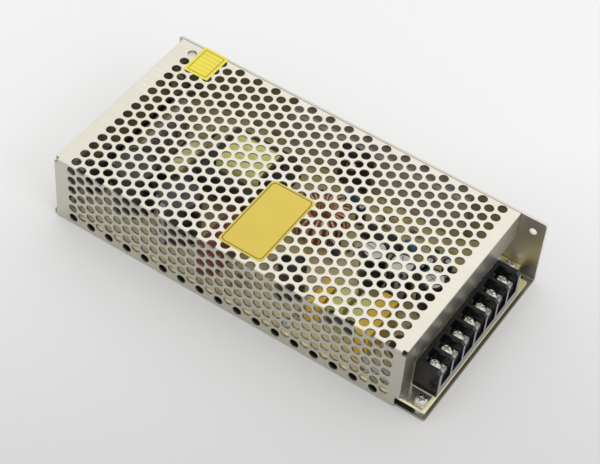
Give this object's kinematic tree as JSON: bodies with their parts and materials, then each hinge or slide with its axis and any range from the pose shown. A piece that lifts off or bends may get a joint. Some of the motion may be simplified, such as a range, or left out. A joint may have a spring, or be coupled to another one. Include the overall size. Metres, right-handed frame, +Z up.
{
  "type": "enclosed switching power supply",
  "caption": "Switching power supply in a perforated folded steel case, with a black barrier terminal block of clamp screws at one end.",
  "frame": {"origin": "centre of the base, on the plane it stands on", "axes": "+X along the length towards the terminal block, +Y towards the plain upright wall, +Z up"},
  "size_m": [0.199, 0.0981, 0.0381],
  "materials": {
    "chassis": "bright plain sheet steel, semi-mirror",
    "cover": "bright perforated sheet steel, satin",
    "insulating_sheet": "dark insulating film",
    "standoffs": "pressed steel",
    "board_screws": "bright plated steel",
    "cover_screws": "bright plated steel",
    "circuit_board": "tan paper-based laminate",
    "terminal_block": "glossy black moulded plastic",
    "terminal_contacts": "tinned brass",
    "terminal_screw": "plated steel",
    "clamp_washer": "plated steel",
    "trimmer_body": "moulded plastic",
    "trimmer_rotor": "moulded plastic",
    "power_led": "clear lens",
    "transformer_core": "sintered ferrite",
    "transformer_bobbin": "dark moulded plastic",
    "transformer_winding": "yellow polyester tape",
    "driver_core": "sintered ferrite",
    "driver_winding": "light yellow-green tape",
    "ring_core": "yellow coated iron powder",
    "ring_winding": "enamelled copper wire",
    "heatsink_bar": "extruded bar, plain",
    "thermal_pad": "silicone pad",
    "output_rectifier": "moulded epoxy",
    "rectifier_clamp": "plated steel",
    "primary_heatsink": "plain aluminium plate",
    "switching_transistors": "moulded epoxy with metal tab",
    "bridge_rectifier": "moulded epoxy",
    "bulk_capacitor_1": "dark grey-blue sleeve over aluminium can",
    "bulk_capacitor_2": "dark grey-blue sleeve over aluminium can",
    "output_capacitors": "black sleeve over aluminium can",
    "auxiliary_capacitor": "black sleeve over aluminium can",
    "small_capacitors": "black sleeve over aluminium can",
    "filter_core": "sintered ferrite",
    "filter_coils": "light yellow-green tape",
    "suppression_capacitor_1": "yellow moulded box",
    "suppression_capacitor_2": "yellow moulded box",
    "film_capacitor": "red-brown dipped resin",
    "disc_capacitors": "blue dipped ceramic",
    "thermistor": "dark dipped ceramic",
    "fuse": "glass tube with metal end caps",
    "fuse_clips": "tinned brass",
    "control_chip": "moulded epoxy",
    "resistors": "tan lacquer",
    "diodes": "black moulded epoxy",
    "large_label": "yellow paper label",
    "seal_label": "yellow paper label"
  },
  "bodies": {
    "case": {"chassis": "chassis", "cover": "cover", "insulating_sheet": "insulating_sheet", "standoffs": "standoffs", "board_screws": "board_screws", "cover_screws": "cover_screws", "circuit_board": "circuit_board", "terminal_block": "terminal_block", "terminal_contacts": "terminal_contacts", "trimmer_body": "trimmer_body", "power_led": "power_led", "transformer_core": "transformer_core", "transformer_bobbin": "transformer_bobbin", "transformer_winding": "transformer_winding", "driver_core": "driver_core", "driver_winding": "driver_winding", "ring_core": "ring_core", "ring_winding": "ring_winding", "heatsink_bar": "heatsink_bar", "thermal_pad": "thermal_pad", "output_rectifier": "output_rectifier", "rectifier_clamp": "rectifier_clamp", "primary_heatsink": "primary_heatsink", "switching_transistors": "switching_transistors", "bridge_rectifier": "bridge_rectifier", "bulk_capacitor_1": "bulk_capacitor_1", "bulk_capacitor_2": "bulk_capacitor_2", "output_capacitors": "output_capacitors", "auxiliary_capacitor": "auxiliary_capacitor", "small_capacitors": "small_capacitors", "filter_core": "filter_core", "filter_coils": "filter_coils", "suppression_capacitor_1": "suppression_capacitor_1", "suppression_capacitor_2": "suppression_capacitor_2", "film_capacitor": "film_capacitor", "disc_capacitors": "disc_capacitors", "thermistor": "thermistor", "fuse": "fuse", "fuse_clips": "fuse_clips", "control_chip": "control_chip", "resistors": "resistors", "diodes": "diodes", "large_label": "large_label", "seal_label": "seal_label"},
    "clamp_1": {"clamp_washer_1": "clamp_washer"},
    "screw_1": {"terminal_screw_1": "terminal_screw"},
    "clamp_2": {"clamp_washer_2": "clamp_washer"},
    "screw_2": {"terminal_screw_2": "terminal_screw"},
    "clamp_3": {"clamp_washer_3": "clamp_washer"},
    "screw_3": {"terminal_screw_3": "terminal_screw"},
    "clamp_4": {"clamp_washer_4": "clamp_washer"},
    "screw_4": {"terminal_screw_4": "terminal_screw"},
    "clamp_5": {"clamp_washer_5": "clamp_washer"},
    "screw_5": {"terminal_screw_5": "terminal_screw"},
    "clamp_6": {"clamp_washer_6": "clamp_washer"},
    "screw_6": {"terminal_screw_6": "terminal_screw"},
    "clamp_7": {"clamp_washer_7": "clamp_washer"},
    "screw_7": {"terminal_screw_7": "terminal_screw"},
    "trimmer": {"trimmer_rotor": "trimmer_rotor"}
  },
  "joints": [
    {"name": "clamp_1_rise", "type": "slide", "parent": "case", "child": "clamp_1", "axis": [0, 0, 1], "range_m": [0, 0.0018]},
    {"name": "screw_1_turn", "type": "hinge", "parent": "clamp_1", "child": "screw_1", "pos_m": [0.09275, -0.0323, 0.0169], "axis": [0, 0, 1], "range_deg": [0, 1085]},
    {"name": "clamp_2_rise", "type": "slide", "parent": "case", "child": "clamp_2", "axis": [0, 0, 1], "range_m": [0, 0.0018]},
    {"name": "screw_2_turn", "type": "hinge", "parent": "clamp_2", "child": "screw_2", "pos_m": [0.09275, -0.0228, 0.0169], "axis": [0, 0, 1], "range_deg": [0, 1085]},
    {"name": "clamp_3_rise", "type": "slide", "parent": "case", "child": "clamp_3", "axis": [0, 0, 1], "range_m": [0, 0.0018]},
    {"name": "screw_3_turn", "type": "hinge", "parent": "clamp_3", "child": "screw_3", "pos_m": [0.09275, -0.0133, 0.0169], "axis": [0, 0, 1], "range_deg": [0, 1085]},
    {"name": "clamp_4_rise", "type": "slide", "parent": "case", "child": "clamp_4", "axis": [0, 0, 1], "range_m": [0, 0.0018]},
    {"name": "screw_4_turn", "type": "hinge", "parent": "clamp_4", "child": "screw_4", "pos_m": [0.09275, -0.0038, 0.0169], "axis": [0, 0, 1], "range_deg": [0, 1085]},
    {"name": "clamp_5_rise", "type": "slide", "parent": "case", "child": "clamp_5", "axis": [0, 0, 1], "range_m": [0, 0.0018]},
    {"name": "screw_5_turn", "type": "hinge", "parent": "clamp_5", "child": "screw_5", "pos_m": [0.09275, 0.0057, 0.0169], "axis": [0, 0, 1], "range_deg": [0, 1085]},
    {"name": "clamp_6_rise", "type": "slide", "parent": "case", "child": "clamp_6", "axis": [0, 0, 1], "range_m": [0, 0.0018]},
    {"name": "screw_6_turn", "type": "hinge", "parent": "clamp_6", "child": "screw_6", "pos_m": [0.09275, 0.0152, 0.0169], "axis": [0, 0, 1], "range_deg": [0, 1085]},
    {"name": "clamp_7_rise", "type": "slide", "parent": "case", "child": "clamp_7", "axis": [0, 0, 1], "range_m": [0, 0.0018]},
    {"name": "screw_7_turn", "type": "hinge", "parent": "clamp_7", "child": "screw_7", "pos_m": [0.09275, 0.0247, 0.0169], "axis": [0, 0, 1], "range_deg": [0, 1085]},
    {"name": "trimmer_turn", "type": "hinge", "parent": "case", "child": "trimmer", "pos_m": [0.07872, 0.03236, 0.0094], "axis": [0, 0, 1], "range_deg": [-115, 115]}
  ],
  "couplings": [
    {"joint": "screw_1_turn", "follows": "clamp_1_rise", "rad_per_m": 10472},
    {"joint": "screw_2_turn", "follows": "clamp_2_rise", "rad_per_m": 10472},
    {"joint": "screw_3_turn", "follows": "clamp_3_rise", "rad_per_m": 10472},
    {"joint": "screw_4_turn", "follows": "clamp_4_rise", "rad_per_m": 10472},
    {"joint": "screw_5_turn", "follows": "clamp_5_rise", "rad_per_m": 10472},
    {"joint": "screw_6_turn", "follows": "clamp_6_rise", "rad_per_m": 10472},
    {"joint": "screw_7_turn", "follows": "clamp_7_rise", "rad_per_m": 10472}
  ]
}
